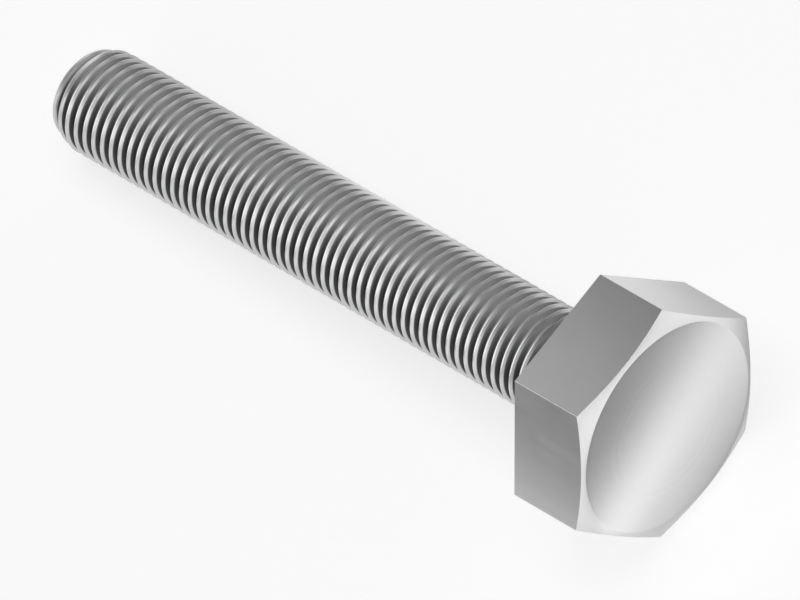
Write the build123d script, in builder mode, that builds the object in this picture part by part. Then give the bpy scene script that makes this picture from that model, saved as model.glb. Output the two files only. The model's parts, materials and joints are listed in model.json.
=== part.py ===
from build123d import *
from math import atan2, cos, radians, sin, sqrt, tan
import os

# Hex head screw, one forged and turned piece of steel, threaded up to its head.
# Sizes are in millimetres. It lies as it comes to rest on a level surface at Z = 0:
# on one edge of a flat of its head and on its tip, with the tip pointing to +X.
# The origin is on that surface, below the middle of the screw.

# Head
width_across_flats = 38.0
head_height = 15.5
head_chamfer_angle = 20.0
top_land_setback = 0.8
washer_face_height = 0.5
washer_face_setback = 1.2

# Shank and thread
length_under_head = 115.0
thread_diameter = 18.0
thread_pitch = 2.0
neck_length = 3.0
run_out_angle = 30.0
under_head_radius = 1.0

# Tip
tip_chamfer_length = 3.5
tip_below_root = 0.17

# Proportions of a 60 degree metric thread, as shares of its pitch
pitch_depth_share = 3 * sqrt(3) / 16
root_depth_share = 17 * sqrt(3) / 48

# Radii about the axis of the screw
thread_radius = thread_diameter / 2
pitch_radius = thread_radius - pitch_depth_share * thread_pitch
root_radius = thread_radius - root_depth_share * thread_pitch
tip_radius = root_radius - tip_below_root
flat_radius = width_across_flats / 2
corner_radius = flat_radius / cos(radians(30))
top_land_radius = flat_radius - top_land_setback
washer_face_radius = flat_radius - washer_face_setback

# Places along the axis, from the bearing face towards the tip
head_top = -head_height
hexagon_foot = -washer_face_height
chamfer_foot = head_top + (corner_radius - top_land_radius) * tan(radians(head_chamfer_angle))
thread_start = neck_length + (thread_radius - pitch_radius) / tan(radians(run_out_angle))
tip_shoulder = length_under_head - tip_chamfer_length

# The tip touches the surface with its shoulder, or with its end if the taper is steep.
lean_to_shoulder = atan2(flat_radius - thread_radius, tip_shoulder - hexagon_foot)
lean_to_end = atan2(flat_radius - tip_radius, length_under_head - hexagon_foot)
lean = min(lean_to_shoulder, lean_to_end)

# The tip and the upper side of the screw, as directions
tipward = Vector(cos(lean), 0, -sin(lean))
upward = Vector(sin(lean), 0, cos(lean))

# The bearing face's centre, with the screw's box centred over the origin
head_reach = head_top * cos(lean) - top_land_radius * sin(lean)
tip_reach = length_under_head * cos(lean) + tip_radius * sin(lean)
bearing_x = -(head_reach + tip_reach) / 2
bearing_z = flat_radius * cos(lean) + hexagon_foot * sin(lean)
bearing_centre = Vector(bearing_x, 0, bearing_z)

screw_axis = Axis(bearing_centre, tipward)
bearing_plane = Plane(origin=bearing_centre, x_dir=upward, z_dir=tipward)
section_plane = Plane(origin=bearing_centre, x_dir=upward, z_dir=(0, 1, 0))

with BuildPart() as hex_head_screw:
    # Hexagon, with one flat turned down to the surface
    with BuildSketch(bearing_plane.offset(head_top)):
        RegularPolygon(flat_radius, 6, major_radius=False, rotation=30)
    extrude(amount=hexagon_foot - head_top)

    # Cone that rounds the corners off round the top, and leaves a flat round land
    with BuildSketch(section_plane):
        with BuildLine():
            Polyline(
                (0, head_top),
                (top_land_radius, head_top),
                (corner_radius, chamfer_foot),
                (corner_radius, hexagon_foot),
                (0, hexagon_foot),
                close=True,
            )
        make_face()
    revolve(axis=screw_axis, mode=Mode.INTERSECT)

    # Washer face, neck, run-out of the thread, shank and tapered tip
    with BuildSketch(section_plane):
        with BuildLine():
            Polyline(
                (0, hexagon_foot),
                (washer_face_radius, hexagon_foot),
                (washer_face_radius, 0),
                (pitch_radius, 0),
                (pitch_radius, neck_length),
                (thread_radius, thread_start),
                (thread_radius, tip_shoulder),
                (tip_radius, length_under_head),
                (0, length_under_head),
                close=True,
            )
        make_face()
    revolve(axis=screw_axis)

    # Fillet where the neck meets the bearing face: the smallest circle is the tip's, the next two the neck's
    neck_circles = edges().filter_by(GeomType.CIRCLE).group_by(SortBy.RADIUS)[1]
    fillet(neck_circles.sort_by(screw_axis)[0], under_head_radius)

hex_head_screw.part.label = "hex_head_screw"

os.makedirs("parts", exist_ok=True)
export_step(hex_head_screw.part, "parts/hex_head_screw.step")
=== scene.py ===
import json
from math import ceil, cos, floor, pi, radians, sin, sqrt, tan

import bmesh
import bpy
from mathutils import Matrix, Vector


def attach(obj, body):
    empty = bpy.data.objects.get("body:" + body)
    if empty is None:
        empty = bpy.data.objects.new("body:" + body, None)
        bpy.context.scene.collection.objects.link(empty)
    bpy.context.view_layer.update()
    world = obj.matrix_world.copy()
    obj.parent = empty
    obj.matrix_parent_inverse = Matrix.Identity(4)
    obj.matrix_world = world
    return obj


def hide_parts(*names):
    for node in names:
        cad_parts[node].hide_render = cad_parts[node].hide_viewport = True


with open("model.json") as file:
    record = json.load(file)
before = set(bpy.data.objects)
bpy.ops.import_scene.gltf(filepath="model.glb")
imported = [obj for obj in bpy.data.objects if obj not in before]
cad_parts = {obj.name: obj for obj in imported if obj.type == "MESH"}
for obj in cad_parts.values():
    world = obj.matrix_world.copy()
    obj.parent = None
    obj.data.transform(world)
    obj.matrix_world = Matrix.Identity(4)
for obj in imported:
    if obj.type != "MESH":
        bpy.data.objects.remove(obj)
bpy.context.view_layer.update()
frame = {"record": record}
print("frame loaded")

mm = 0.001  # Blender works in metres, the sizes below are in millimetres


# Where the screw lies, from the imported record: its axis, and the middle of its bearing face

mounts = {mount["name"]: mount for mount in frame["record"]["mounts"]}
tipward = Vector(mounts["spanner_hexagon"]["axis"]).normalized() * -1
across = Vector((0, 1, 0))
upward = across.cross(tipward) * -1
hexagonMiddle = Vector(mounts["spanner_hexagon"]["pos_m"])

# Sizes of the head, the shank and the tip, all measured along the axis from the bearing face

screwSizes = {
    "acrossFlats": 38.0,
    "headHeight": 15.5,
    "chamferAngle": 20.0,
    "topLandRadius": 18.2,
    "washerFaceRadius": 17.8,
    "washerFaceHeight": 0.5,
    "underHeadRadius": 1.0,
    "neckEnd": 3.0,
    "runOutAngle": 30.0,
    "shoulderAt": 111.5,
    "lengthUnderHead": 115.0,
    "tipEndRadius": 7.603,
    "edgeWear": 0.03,       # how far the sharp edges are broken
    "cornerWear": 0.06,     # half the width of a hexagon corner's bevel, in degrees
}
threadSizes = {
    "radius": mounts["threaded_shank"]["dims"]["r_mm"],
    "pitch": 2.0,
    "crestAt": 111.3,       # a crest's middle on the side that the screw lies on
    "crestWear": 0.03,
    "grooveFadesOver": 2.5,
    "grooveFollowsTaper": 0.6,
    "widestCrest": 0.28,
    "rootSteps": 5,
}
meshSizes = {
    "columnStep": 3,        # degrees
    "flatRings": (5.0, 10.0, 14.5),
    "filletSteps": 6,
    "weldWithin": 0.002,
    "sharpAngle": 25,       # degrees
}

toBearing = (screwSizes["headHeight"] + screwSizes["washerFaceHeight"]) / 2
bearingCentre = hexagonMiddle + tipward * toBearing * mm
pitch = threadSizes["pitch"]
crestRadius = threadSizes["radius"]
flankSlope = sqrt(3)                                        # of a 60 degree thread
pitchRadius = crestRadius - pitch * 3 * sqrt(3) / 16
rootRadius = crestRadius - pitch * 17 * sqrt(3) / 48
rootArcRadius = pitch / 8 / sin(radians(60))


def place(radius, turn, along):
    outward = upward * cos(turn) + across * sin(turn)
    return bearingCentre + outward * radius * mm + tipward * along * mm


# The hexagon has a flat on top and corners to both sides
def hexagonRadius(turn):
    sixth = pi / 3
    fromFlat = (turn + sixth / 2) % sixth - sixth / 2
    return screwSizes["acrossFlats"] / 2 / cos(fromFlat)


# Columns run along the screw, one every few degrees, and two where a hexagon corner is worn
def columnTurns():
    turns = []
    for degree in range(0, 360, meshSizes["columnStep"]):
        if degree % 60 == 30:
            turns.append(radians(degree - screwSizes["cornerWear"]))
            turns.append(radians(degree + screwSizes["cornerWear"]))
        else:
            turns.append(radians(degree))
    return turns


# Points of a column over the head, from the top land's middle to the end of the neck: radius, along
def headColumn(turn):
    size = screwSizes
    wear = size["edgeWear"]
    top = -size["headHeight"]
    land = size["topLandRadius"]
    corner = hexagonRadius(turn)
    foot = -size["washerFaceHeight"]
    washer = size["washerFaceRadius"]
    fillet = size["underHeadRadius"]
    slope = tan(radians(size["chamferAngle"]))
    points = [(radius, top) for radius in meshSizes["flatRings"]]
    points.append((land - 3 * wear, top))
    points.append((land - wear, top))
    points.append((land + wear, top + wear * slope))
    points.append((corner - wear, top + (corner - wear - land) * slope))
    points.append((corner, top + (corner - land) * slope + wear))
    points.append((corner, foot - wear))
    points.append((corner - wear, foot))
    points.append((washer, foot))
    points.append((washer, -wear))
    points.append((washer - wear, 0))
    steps = meshSizes["filletSteps"]
    for step in range(steps + 1):
        bend = pi / 2 * step / steps
        radius = pitchRadius + fillet * (1 - sin(bend))
        points.append((radius, fillet * (1 - cos(bend))))
    points.append((pitchRadius, size["neckEnd"]))
    return points


# The shank's own outline, that the thread is cut into: run-out, full crest, taper at the tip
def envelopeRadius(along):
    size = screwSizes
    runOut = pitchRadius + (along - size["neckEnd"]) * tan(radians(size["runOutAngle"]))
    taper = (crestRadius - size["tipEndRadius"]) / (size["lengthUnderHead"] - size["shoulderAt"])
    tip = crestRadius - (along - size["shoulderAt"]) * taper
    return min(crestRadius, runOut, tip)


# One pitch of the thread as points: along from the crest's middle, and the side of the crest
def threadProfile():
    flat = pitch / 16
    wear = threadSizes["crestWear"]
    steps = threadSizes["rootSteps"]
    points = [(-flat - wear, -1), (-flat + wear, -1), (flat - wear, 1), (flat + wear, 1)]
    for step in range(steps + 1):
        bend = radians(-60 + 120 * step / steps)
        points.append((pitch / 2 + rootArcRadius * sin(bend), 0))
    return points


# How far the thread's full profile reaches out, at a distance along the axis from a crest's middle
def profileRadius(fromCrest):
    flat = pitch / 16
    flankEnd = pitch * 3 / 8
    if fromCrest <= flat:
        return crestRadius
    if fromCrest <= flankEnd:
        return crestRadius - (fromCrest - flat) * flankSlope
    fromRoot = pitch / 2 - fromCrest
    return rootRadius + rootArcRadius - sqrt(rootArcRadius ** 2 - fromRoot ** 2)


# The groove fades out at the neck, and it sinks with the taper at the tip
def threadRadius(turn, along):
    size = screwSizes
    share = (along - threadCrestAt(turn)) / pitch
    fromCrest = abs(share - round(share)) * pitch
    radius = profileRadius(fromCrest)
    outline = envelopeRadius(along)
    if along > size["shoulderAt"]:
        radius -= (crestRadius - outline) * threadSizes["grooveFollowsTaper"]
    faded = max(0, 1 - (along - size["neckEnd"]) / threadSizes["grooveFadesOver"])
    grooveFloor = rootRadius + (pitchRadius - rootRadius) * faded * faded * (3 - 2 * faded)
    if along < size["shoulderAt"]:
        radius = max(radius, grooveFloor)
    return min(outline, radius)


# Along the axis, the middle of one crest: a right-hand thread climbs towards the tip as it turns
def threadCrestAt(turn):
    return threadSizes["crestAt"] + pitch * (turn / (2 * pi) - 0.5)


# A row's place in a column: the crest is wider where the shank's outline cuts it lower
def rowPlace(turn, fromFirst, side):
    size = screwSizes
    along = threadCrestAt(turn) + fromFirst
    lowered = crestRadius - envelopeRadius(along)
    if along > size["shoulderAt"]:
        lowered *= 1 - threadSizes["grooveFollowsTaper"]
    along += side * min(lowered / flankSlope, pitch * threadSizes["widestCrest"])
    return min(max(along, size["neckEnd"]), size["lengthUnderHead"])


def threadRows():
    size = screwSizes
    profile = threadProfile()
    first = floor((size["neckEnd"] - threadCrestAt(0)) / pitch) - 3
    last = ceil((size["lengthUnderHead"] - threadCrestAt(0)) / pitch) + 2
    rows = []
    for turnNumber in range(first, last):
        for along, side in profile:
            rows.append((turnNumber * pitch + along, side))
    return rows, len(profile)


def buildScrew():
    mesh = bpy.data.meshes.new("steelScrew")
    bm = bmesh.new()
    turns = columnTurns()
    rows, rowsInPitch = threadRows()
    heads = []
    threads = []
    for turn in turns:
        heads.append([bm.verts.new(place(radius, turn, along)) for radius, along in headColumn(turn)])
        column = []
        for fromFirst, side in rows:
            along = rowPlace(turn, fromFirst, side)
            column.append(bm.verts.new(place(threadRadius(turn, along), turn, along)))
        threads.append(column)
    topMiddle = bm.verts.new(place(0, 0, -screwSizes["headHeight"]))
    tipMiddle = bm.verts.new(place(0, 0, screwSizes["lengthUnderHead"]))
    for number in range(len(turns)):
        following = (number + 1) % len(turns)
        here, there = heads[number], heads[following]
        bm.faces.new((topMiddle, there[0], here[0]))
        for step in range(len(here) - 1):
            bm.faces.new((here[step], there[step], there[step + 1], here[step + 1]))
        shift = rowsInPitch if following == 0 else 0    # a full turn climbs one pitch
        here, there = threads[number], threads[following]
        for row in range(len(rows) - 1 - shift):
            bm.faces.new((here[row], there[row + shift], there[row + shift + 1], here[row + 1]))
        bm.faces.new((here[-1], there[-1], tipMiddle))
    bmesh.ops.remove_doubles(bm, verts=bm.verts, dist=meshSizes["weldWithin"] * mm)
    bmesh.ops.recalc_face_normals(bm, faces=bm.faces)
    openEdges = sum(1 for edge in bm.edges if not edge.is_manifold)
    triangles = sum(len(face.verts) - 2 for face in bm.faces)
    print("screw mesh:", triangles, "triangles,", openEdges, "open edges")
    bm.to_mesh(mesh)
    bm.free()
    mesh.shade_smooth()
    mesh.set_sharp_from_angle(angle=radians(meshSizes["sharpAngle"]))
    screw = bpy.data.objects.new("steelScrew", mesh)
    bpy.context.scene.collection.objects.link(screw)
    return screw


screw = buildScrew()
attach(screw, "root")
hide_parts("hex_head_screw")
print("screw built")


# A wrapped socket of a node tree, so that shader maths can be written as an expression
class Shade:
    def __init__(self, tree, socket=None):
        self.tree = tree
        self.socket = socket

    def node(self, kind, settings=None, sockets=None, output=0):
        made = self.tree.nodes.new(kind)
        for name, value in (settings or {}).items():
            if name == "stops":
                self.setStops(made.color_ramp, value)
            else:
                setattr(made, name, value)
        for name, value in (sockets or {}).items():
            socket = self.input(made, name)
            if isinstance(value, Shade):
                self.tree.links.new(value.socket, socket)
            else:
                socket.default_value = value
        shown = [socket for socket in made.outputs if socket.enabled]
        if not shown:
            return Shade(self.tree)
        if isinstance(output, int):
            return Shade(self.tree, shown[output])
        return Shade(self.tree, next(socket for socket in shown if socket.name == output))

    # Stops of a ramp: place and grey
    def setStops(self, ramp, stops):
        while len(ramp.elements) < len(stops):
            ramp.elements.new(1)
        for element, (place, grey) in zip(ramp.elements, stops):
            element.position = place
            element.color = (grey, grey, grey, 1)

    # A Mix node has a socket of each name for every type of data, and only those of its own type are enabled
    def input(self, made, name):
        if isinstance(name, int):
            return made.inputs[name]
        return next(socket for socket in made.inputs if socket.name == name and socket.enabled)

    def math(self, operation, *values):
        return self.node("ShaderNodeMath", {"operation": operation}, dict(enumerate(values)))

    def vector(self, operation, other=None, output="Vector"):
        sockets = {0: self} if other is None else {0: self, 1: other}
        return self.node("ShaderNodeVectorMath", {"operation": operation}, sockets, output)

    def smoothStep(self, value, low, high):
        return self.node("ShaderNodeMapRange", {"interpolation_type": "SMOOTHSTEP"}, {
            "Value": value, "From Min": low, "From Max": high,
        })

    # Noise about zero, from -0.5 to 0.5
    def noise(self, dimensions, scale, sockets):
        settings = {"noise_dimensions": dimensions}
        return self.node("ShaderNodeTexNoise", settings, {"Scale": scale, **sockets}, 0) - 0.5

    def __add__(self, other):
        return self.math("ADD", self, other)

    def __sub__(self, other):
        return self.math("SUBTRACT", self, other)

    def __rsub__(self, other):
        return self.math("SUBTRACT", other, self)

    def __mul__(self, other):
        return self.math("MULTIPLY", self, other)

    __radd__ = __add__
    __rmul__ = __mul__


steelFinish = {
    "bright": (0.56, 0.56, 0.565, 1),       # machined and worn surfaces
    "lowerGroove": (0.06, 0.06, 0.061, 1),  # painted shade in the thread's grooves, low on the sides of the lying screw
    "upperGroove": (0.34, 0.34, 0.343, 1),  # and along its top, lighter with painted light
    "upperTurn": -16.0,                     # where the grooves' painted light is strongest, in degrees from the top
    "brightRoughness": 0.3,
    "grooveRoughness": 0.5,
    "wornDepth": (0.32, 0.54),              # from the bright crest to the groove's painted shade, in millimetres
    "neckBlend": 1.0,
    "endDepth": 0.05,
    "turnedFacing": (0.6, 0.85),            # how squarely a turned face looks along the axis
    "ringSpacing": 0.8,                     # turning rings on the land, the chamfer and the tip's end
    "ringHeight": 0.004,
    "grainWidth": 0.5,                      # drawn grain along the flats
    "grainStretch": 0.02,
    "grainHeight": 0.003,
    "fineDetail": 1.0,                      # of the rings and the grain
    "cloudDetail": 4.0,
    "cloudSize": 7.0,
    "cloudShare": 0.06,                     # how far the clouds change the colour
    "streakShare": 0.05,
    "roughnessSpread": 0.04,                # kept small, or the denoiser leaves marks
}


def steelMaterial():
    finish = steelFinish
    material = bpy.data.materials.new("brightSteel")
    material.use_nodes = True
    tree = material.node_tree
    tree.nodes.clear()
    shade = Shade(tree)
    position = shade.node("ShaderNodeTexCoord", {}, {}, "Object")
    normal = shade.node("ShaderNodeTexCoord", {}, {}, "Normal")
    fromCentre = position.vector("SUBTRACT", bearingCentre)
    along = fromCentre.vector("DOT_PRODUCT", tipward, "Value")
    onAxis = shade.node("ShaderNodeVectorMath", {"operation": "SCALE"}, {0: tipward, "Scale": along})
    outward = fromCentre.vector("SUBTRACT", onAxis)
    radius = outward.vector("LENGTH", output="Value")

    # Bright crests over grooves darkened with painted shade, measured inwards from the shank's outline
    size = screwSizes
    taper = (crestRadius - size["tipEndRadius"]) / (size["lengthUnderHead"] - size["shoulderAt"])
    tipOutline = (along - size["shoulderAt"] * mm) * -taper + crestRadius * mm
    outline = shade.math("MINIMUM", tipOutline, crestRadius * mm)
    depth = (outline - radius) * (1 / mm)
    crestColourEnd, paintedShadeFull = finish["wornDepth"]
    paintedShadeByDepth = shade.smoothStep(depth, crestColourEnd, paintedShadeFull)
    afterNeck = shade.smoothStep(along, size["neckEnd"] * mm, (size["neckEnd"] + finish["neckBlend"]) * mm)
    endDepth = finish["endDepth"] * mm
    tipEnd = size["lengthUnderHead"] * mm
    beforeEnd = 1 - shade.smoothStep(along, tipEnd - endDepth, tipEnd - endDepth / 2)
    threaded = afterNeck * beforeEnd
    grooveAndPaintedShade = threaded * paintedShadeByDepth

    # Painted light and shade in the grooves: lighter on top and darker low down. That shading is fitted to
    # the photo: with both groove colours the same, the steel is neutral.
    upperTurn = radians(finish["upperTurn"])
    paintedLightSide = upward * cos(upperTurn) + across * sin(upperTurn)
    paintedLightShare = outward.vector("NORMALIZE").vector("DOT_PRODUCT", paintedLightSide, "Value")
    paintedLightShare = shade.math("MAXIMUM", paintedLightShare, 0.0)
    paintedGrooveColour = shade.node(
        "ShaderNodeMix",
        {"data_type": "RGBA"},
        {"Factor": paintedLightShare * paintedLightShare * paintedLightShare, "A": finish["lowerGroove"], "B": finish["upperGroove"]},
        "Result",
    )

    # Rings where a tool has turned the steel, and drawn grain along the flats
    facing = shade.math("ABSOLUTE", normal.vector("DOT_PRODUCT", tipward, "Value"))
    leastFacing, fullFacing = finish["turnedFacing"]
    turned = shade.smoothStep(facing, leastFacing, fullFacing) * (1 - threaded)
    ringScale = 1 / (finish["ringSpacing"] * mm)
    rings = shade.noise("1D", ringScale, {"W": radius, "Detail": finish["fineDetail"]})
    stretch = finish["grainStretch"]
    alongLittle = shade.node("ShaderNodeVectorMath", {"operation": "SCALE"}, {0: onAxis, "Scale": stretch})
    grainPlace = outward.vector("ADD", alongLittle)
    grainScale = 1 / (finish["grainWidth"] * mm)
    grain = shade.noise("3D", grainScale, {"Vector": grainPlace, "Detail": finish["fineDetail"]})
    drawn = (1 - turned) * (1 - threaded)
    streaks = turned * rings + drawn * grain
    relief = turned * rings * (finish["ringHeight"] / finish["grainHeight"]) + drawn * grain
    cloudScale = 1 / (finish["cloudSize"] * mm)
    clouds = shade.noise("3D", cloudScale, {"Vector": position, "Detail": finish["cloudDetail"]})

    lightness = clouds * finish["cloudShare"] + streaks * finish["streakShare"] + 1
    # the bright steel, with the painted shade and light of the grooves mixed in
    plain = shade.node(
        "ShaderNodeMix",
        {"data_type": "RGBA"},
        {"Factor": grooveAndPaintedShade, "A": finish["bright"], "B": paintedGrooveColour},
        "Result",
    )
    colour = shade.node("ShaderNodeVectorMath", {"operation": "SCALE"}, {0: plain, "Scale": lightness})
    roughness = grooveAndPaintedShade * (finish["grooveRoughness"] - finish["brightRoughness"]) + finish["brightRoughness"]
    roughness = roughness + (clouds + streaks) * finish["roughnessSpread"]
    bump = shade.node("ShaderNodeBump", {}, {"Height": relief, "Distance": finish["grainHeight"] * mm})
    surface = shade.node("ShaderNodeBsdfPrincipled", {}, {
        "Base Color": colour, "Metallic": 1.0, "Roughness": roughness, "Normal": bump,
    })
    shade.node("ShaderNodeOutputMaterial", {}, {"Surface": surface})
    return material


screw.data.materials.append(steelMaterial())
print("steel made")


# The camera looks along the screw's isometric direction: the corners of a cube on the hexagon's axes
def isometricDirections():
    headward = tipward * -1
    sideways = upward * -0.5 - across * sqrt(0.75)
    third = upward * sqrt(0.75) - across * 0.5
    toCamera = (headward - sideways + third) / sqrt(3)
    screenUp = (third * 2 - headward + sideways) / sqrt(6)
    screenRight = (headward + sideways) / sqrt(2)
    longAxis = (sideways + third) / -sqrt(2)
    return toCamera, screenUp, screenRight, longAxis


cameraSizes = {
    "lens": 1000,
    "sensor": 36,
    "frameWidth": 126.8,
    "lookAlong": 41.3,      # the point in the middle of the picture, along the axis
    "lookAside": 3.67,
    "clip": (0.1, 20),      # metres
}
toCamera, screenUp, screenRight, longAxis = isometricDirections()


def addCamera():
    size = cameraSizes
    data = bpy.data.cameras.new("camera")
    data.lens = size["lens"]
    data.sensor_width = size["sensor"]
    distance = size["frameWidth"] * mm * size["lens"] / size["sensor"]
    data.clip_start, data.clip_end = size["clip"]
    camera = bpy.data.objects.new("camera", data)
    bpy.context.scene.collection.objects.link(camera)
    target = bearingCentre + tipward * size["lookAlong"] * mm + longAxis * size["lookAside"] * mm
    turned = Matrix((screenRight, screenUp, toCamera)).transposed().to_4x4()
    camera.matrix_world = Matrix.Translation(target + toCamera * distance) @ turned
    bpy.context.scene.camera = camera


addCamera()


# A pale table that glows a little, as a light table does
floorFinish = {
    "halfWidth": 3.0,
    "colour": (0.85, 0.85, 0.85, 1),
    "roughness": 0.9,
    "specular": 0,          # without it the cards would show on the table
    "glowColour": (1, 1, 1, 1),
    "glow": 0.64,
}


def addFloor():
    finish = floorFinish
    mesh = bpy.data.meshes.new("floor")
    half = finish["halfWidth"]
    corners = [(-half, -half, 0), (half, -half, 0), (half, half, 0), (-half, half, 0)]
    mesh.from_pydata(corners, [], [(0, 1, 2, 3)])
    material = bpy.data.materials.new("paleFloor")
    material.use_nodes = True
    surface = material.node_tree.nodes["Principled BSDF"]
    surface.inputs["Base Color"].default_value = finish["colour"]
    surface.inputs["Roughness"].default_value = finish["roughness"]
    surface.inputs["Specular IOR Level"].default_value = finish["specular"]
    surface.inputs["Emission Color"].default_value = finish["glowColour"]
    surface.inputs["Emission Strength"].default_value = finish["glow"]
    mesh.materials.append(material)
    floorObject = bpy.data.objects.new("floor", mesh)
    bpy.context.scene.collection.objects.link(floorObject)


addFloor()
print("floor laid")


# Soft square lights: each shines at a point from one side and from a height over the floor. All but the
# one above shine on the steel alone, so that the table stays even.
aimPoints = {
    "screw": (-0.01, 0, 0.02),
    "head": (-0.057, 0, 0.02),
}
studioLights = [
    {"name": "above", "aim": "screw", "round": 0, "height": 90, "away": 1.0, "side": 0.8, "glow": 1.0},
    {"name": "tipHigh", "aim": "screw", "round": 47, "height": 30, "away": 0.6, "side": 0.68, "glow": 1.65},
    {"name": "farSide", "aim": "screw", "round": 135, "height": 14, "away": 0.6, "side": 0.28, "glow": 1.3},
    {"name": "headLow", "aim": "screw", "round": 180, "height": 14, "away": 0.6, "side": 0.32, "glow": 1.5},
    {"name": "headHigh", "aim": "screw", "round": 225, "height": 62, "away": 0.6, "side": 0.42, "glow": 1.1},
    {"name": "nearHigh", "aim": "screw", "round": 240, "height": 38, "away": 0.6, "side": 0.42, "glow": 1.2},
    {"name": "nearLow", "aim": "screw", "round": 270, "height": 14, "away": 0.6, "side": 0.28, "glow": 1.5},
    {"name": "farFlat", "aim": "head", "round": 135, "height": 22, "away": 0.14, "side": 0.1, "glow": 0.7},
    {"name": "overShank", "aim": "head", "round": 0, "height": 50, "away": 0.14, "side": 0.06, "glow": 0.5},
    {"name": "overHead", "aim": "head", "round": 180, "height": 50, "away": 0.14, "side": 0.06, "glow": 1.2},
]


def addLights(steelOnly):
    for light in studioLights:
        data = bpy.data.lights.new(light["name"], "AREA")
        data.size = light["side"]
        data.energy = pi * light["side"] ** 2 * light["glow"]
        turn, height = radians(light["round"]), radians(light["height"])
        direction = Vector((cos(turn) * cos(height), sin(turn) * cos(height), sin(height)))
        lamp = bpy.data.objects.new(light["name"], data)
        lamp.location = Vector(aimPoints[light["aim"]]) + direction * light["away"]
        lamp.rotation_mode = "QUATERNION"
        lamp.rotation_quaternion = direction.to_track_quat("Z", "Y")
        lamp.visible_camera = False
        if light["name"] != "above":
            lamp.light_linking.receiver_collection = steelOnly
        bpy.context.scene.collection.objects.link(lamp)


steelOnly = bpy.data.collections.new("steelOnly")
steelOnly.objects.link(screw)
addLights(steelOnly)


# Cards just over the table that only the gloss of the steel shows, in millimetres: where they lie, the way
# that they run away from the screw, and how bright they are by how far that way. They are fitted to the
# photo's view, for the soft gradients of the land, the chamfer and the flats.
softCards = {
    "frontCard": {
        "x": (-194.5, -66),
        "y": (-37, 21),
        "z": 1.2,
        "away": (-0.981, 0.192, 0),
        "glow": {
            62: 0.55, 64.6: 0.6, 65.6: 0.78, 70: 1.11, 73: 1.14, 76: 1.69, 79: 2.0,
            82: 1.37, 85: 0.42, 89: 0, 95: 0, 105: 0.24, 120: 1.4, 160: 2.0,
        },
    },
    "frontFarCard": {
        "x": (-194.5, -66.5),
        "y": (21, 110),
        "z": 1.2,
        "away": (-1, 0, 0),
        "glow": {66: 0.85, 73: 1.05, 81: 1.3, 94: 1.45, 120: 1.45, 160: 1.7},
    },
    "frontNearCard": {
        "x": (-194.5, -66.5),
        "y": (-110, -37),
        "z": 1.2,
        "away": (-1, 0, 0),
        "glow": {66: 0.85, 82: 1.3, 98: 1.45, 125: 1.6, 172: 1.7},
    },
    "sideCard": {
        "x": (-65.5, 200),
        "y": (24, 260),
        "z": 1,
        "away": (0, 1, 0),
        "glow": {26: 0.76, 38: 1.33, 50: 1.62, 64: 1.31, 80: 0.46, 100: 0, 130: 0, 205: 0},
    },
    "nearCard": {
        "x": (-66, 60),
        "y": (-110, -23),
        "z": 1,
        "away": (0.669, -0.743, 0),
        "glow": {-6: 0.75, 0: 0.63, 6: 0.6, 12: 0.94, 18: 1.28, 26: 1.3, 50: 0.69},
    },
}


def cardMaterial(name, card):
    material = bpy.data.materials.new(name)
    material.use_nodes = True
    tree = material.node_tree
    tree.nodes.clear()
    shade = Shade(tree)
    position = shade.node("ShaderNodeTexCoord", {}, {}, "Object")
    distance = position.vector("DOT_PRODUCT", Vector(card["away"]) / mm, "Value")
    nearest, farthest = min(card["glow"]), max(card["glow"])
    brightest = max(card["glow"].values())
    span = farthest - nearest
    stops = [((place - nearest) / span, glow / brightest) for place, glow in card["glow"].items()]
    ramp = shade.node("ShaderNodeValToRGB", {"stops": stops}, {"Fac": (distance - nearest) * (1 / span)})
    surface = shade.node("ShaderNodeEmission", {}, {"Color": ramp, "Strength": brightest})
    shade.node("ShaderNodeOutputMaterial", {}, {"Surface": surface})
    return material


def addCard(name, card):
    (left, right), (near, far), height = card["x"], card["y"], card["z"]
    corners = [(left, near), (right, near), (right, far), (left, far)]
    mesh = bpy.data.meshes.new(name)
    mesh.from_pydata([(x * mm, y * mm, height * mm) for x, y in corners], [], [(0, 1, 2, 3)])
    mesh.materials.append(cardMaterial(name, card))
    cardObject = bpy.data.objects.new(name, mesh)
    bpy.context.scene.collection.objects.link(cardObject)
    cardObject.visible_camera = False
    cardObject.visible_diffuse = False
    cardObject.visible_shadow = False


for name, card in softCards.items():
    addCard(name, card)


studioWorld = {
    "colour": (1, 1, 1, 1),
    "glow": 0.2,
}


def addWorld():
    world = bpy.data.worlds.new("studio")
    world.use_nodes = True
    background = world.node_tree.nodes["Background"]
    background.inputs["Color"].default_value = studioWorld["colour"]
    background.inputs["Strength"].default_value = studioWorld["glow"]
    bpy.context.scene.world = world
    bpy.context.scene.view_settings.view_transform = "Standard"


addWorld()
print("lights placed")
